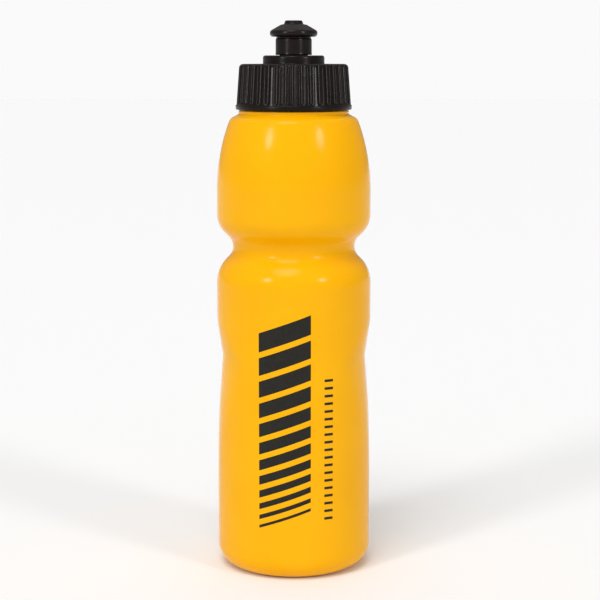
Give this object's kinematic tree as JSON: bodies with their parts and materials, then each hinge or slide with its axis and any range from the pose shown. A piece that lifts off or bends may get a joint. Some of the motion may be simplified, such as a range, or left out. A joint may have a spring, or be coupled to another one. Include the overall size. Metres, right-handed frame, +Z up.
{
  "type": "sports squeeze bottle",
  "caption": "Blow-moulded sports bottle with a waist and side finger grips, a fluted screw cap with a sealing washer, and a push-pull nozzle that plugs its own spout.",
  "frame": {"origin": "centre of the foot, on the plane that the bottle stands on", "axes": "+Z up along the bottle, -Y towards the printed front, +X to the right of someone who faces the print"},
  "size_m": [0.0746, 0.0746, 0.2646],
  "materials": {
    "yellow_body": "soft, slightly waxy low-density polyethylene with a low gloss",
    "black_cap": "moulded polypropylene, semi-gloss",
    "washer_foam": "closed-cell polyethylene foam, matte",
    "black_nozzle": "moulded polyethylene, semi-gloss"
  },
  "bodies": {
    "bottle": {"bottle": "yellow_body"},
    "cap_washer": {"cap_washer": "washer_foam"},
    "screw_cap": {"screw_cap": "black_cap"},
    "pull_nozzle": {"pull_nozzle": "black_nozzle"}
  },
  "joints": [
    {"name": "cap_lift", "type": "slide", "parent": "bottle", "child": "cap_washer", "axis": [0, 0, 1], "range_m": [0, 0.00675]},
    {"name": "cap_turn", "type": "hinge", "parent": "cap_washer", "child": "screw_cap", "pos_m": [0, 0, 0.2335], "axis": [0, 0, 1], "range_deg": [0, 540]},
    {"name": "nozzle_pull", "type": "slide", "parent": "screw_cap", "child": "pull_nozzle", "axis": [0, 0, 1], "range_m": [0, 0.006]}
  ],
  "couplings": [
    {"joint": "cap_lift", "follows": "cap_turn", "m_per_rad": 0.0007162}
  ]
}
